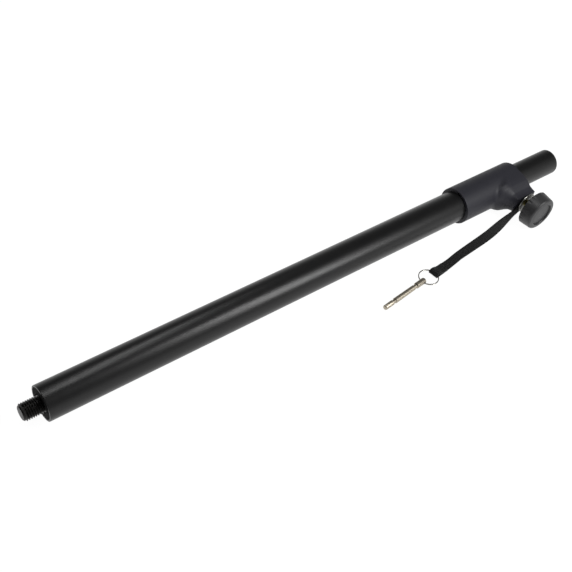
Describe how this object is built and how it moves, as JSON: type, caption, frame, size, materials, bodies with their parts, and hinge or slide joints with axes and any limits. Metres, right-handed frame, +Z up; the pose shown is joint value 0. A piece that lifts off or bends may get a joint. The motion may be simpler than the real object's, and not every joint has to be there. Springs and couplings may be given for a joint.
{
  "type": "speaker pole",
  "caption": "Telescopic speaker pole: threaded stud at the foot, sliding mast, clamp collar with knob, and a safety pin on a webbing lanyard.",
  "frame": {"origin": "centre of the outer tube's bottom end face, at the shoulder of the threaded stud", "axes": "+X along the pole from the stud to the top, -Y along the clamp bolt towards the knob, +Z up with the pole lying on its collar and knob"},
  "size_m": [0.812, 0.1047, 0.0496],
  "materials": {
    "powder_coat": "black powder coat, satin",
    "mast_coat": "black powder coat, satin, slightly rubbed",
    "black_oxide": "black oxide steel thread, oiled",
    "black_cap": "moulded polyethylene, matt",
    "glide_nylon": "natural nylon, satin",
    "collar_nylon": "glass-filled nylon, fine matt texture, blue-charcoal",
    "screw_zinc": "black zinc",
    "zinc_steel": "bright zinc plate",
    "pad_nylon": "black nylon",
    "bolt_zinc": "dull yellowish zinc plate",
    "knob_nylon": "moulded nylon, matt charcoal",
    "webbing": "woven black polypropylene webbing",
    "ring_nickel": "bright nickel plate",
    "pin_zinc": "zinc-plated steel"
  },
  "bodies": {
    "pole_body": {"outer_tube": "powder_coat", "base_plug": "powder_coat", "threaded_stud": "black_oxide", "collar": "collar_nylon", "collar_screws": "screw_zinc", "clamp_nut": "zinc_steel", "washer": "zinc_steel", "strap_tab": "webbing", "lanyard_strap": "webbing", "strap_fold": "webbing"},
    "stop_sleeve": {"stop_sleeve": "glide_nylon"},
    "mast": {"inner_tube": "mast_coat", "top_cap": "black_cap", "guide_bush": "glide_nylon"},
    "pressure_pad": {"pressure_pad": "pad_nylon"},
    "clamp_knob": {"knob": "knob_nylon", "clamp_bolt": "bolt_zinc", "knob_cap": "knob_nylon"},
    "split_ring": {"split_ring": "ring_nickel"},
    "locking_pin": {"locking_pin": "pin_zinc"}
  },
  "joints": [
    {"name": "mast_slide", "type": "slide", "parent": "pole_body", "child": "stop_sleeve", "axis": [1, 0, 0], "range_m": [0, 0.58]},
    {"name": "mast_turn", "type": "hinge", "parent": "stop_sleeve", "child": "mast", "pos_m": [0.4, 0, 0], "axis": [1, 0, 0], "continuous": true},
    {"name": "pad_travel", "type": "slide", "parent": "pole_body", "child": "pressure_pad", "axis": [0, -1, 0], "range_m": [0, 0.003]},
    {"name": "knob_turn", "type": "hinge", "parent": "pressure_pad", "child": "clamp_knob", "pos_m": [0.693, -0.06, 0], "axis": [0, -1, 0], "range_deg": [0, 720]},
    {"name": "ring_swing", "type": "hinge", "parent": "pole_body", "child": "split_ring", "pos_m": [0.50716, -0.0652, -0.0209], "axis": [-0.118, 0.993, 0], "range_deg": [0, 90]},
    {"name": "pin_swing", "type": "hinge", "parent": "split_ring", "child": "locking_pin", "pos_m": [0.48313, -0.06806, -0.0209], "axis": [-0.118, 0.993, 0], "range_deg": [0, 90]}
  ],
  "couplings": [
    {"joint": "knob_turn", "follows": "pad_travel", "rad_per_m": 4188.8}
  ]
}
